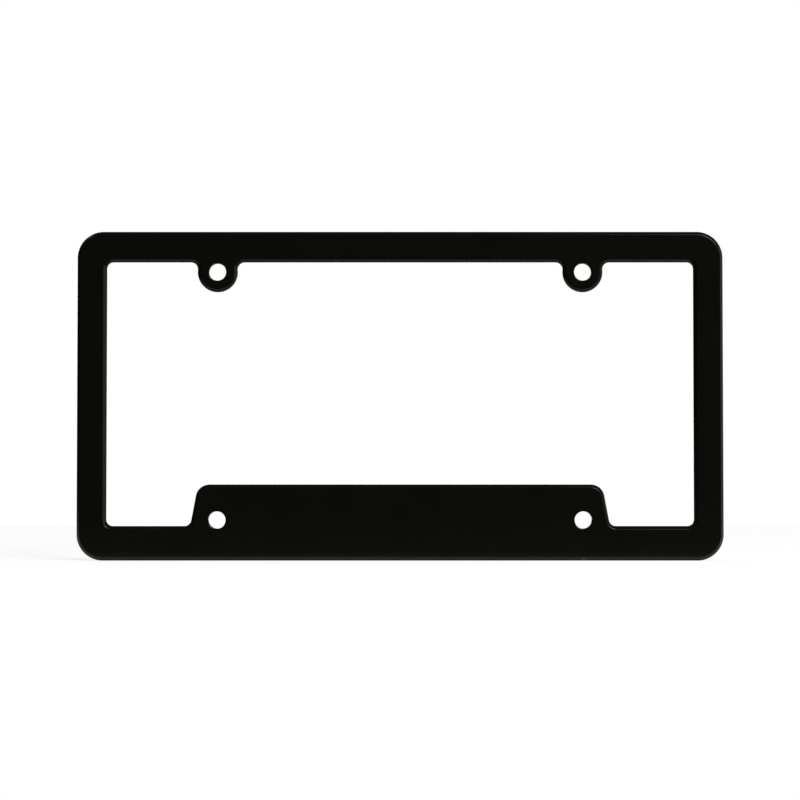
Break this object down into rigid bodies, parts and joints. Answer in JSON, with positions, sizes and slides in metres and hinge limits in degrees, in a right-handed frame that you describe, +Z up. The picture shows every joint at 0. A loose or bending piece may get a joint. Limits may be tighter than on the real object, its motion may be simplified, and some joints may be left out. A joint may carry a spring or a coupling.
{
  "type": "number plate holder",
  "caption": "Black one-piece frame that lies over the front of a number plate and shares its screws, with round ears at the upper holes and a wide blank panel along the bottom.",
  "frame": {"origin": "centre of the four screw holes, on the plane where the number plate's face bears", "axes": "+X to the right as seen from the front, +Z up, -Y towards the viewer and +Y towards the car"},
  "size_m": [0.3144, 0.0064, 0.16],
  "materials": {
    "moulding": "satin black moulded plastic with smooth bevelled edges"
  },
  "bodies": {
    "root": {"plate_frame": "moulding"}
  },
  "joints": []
}
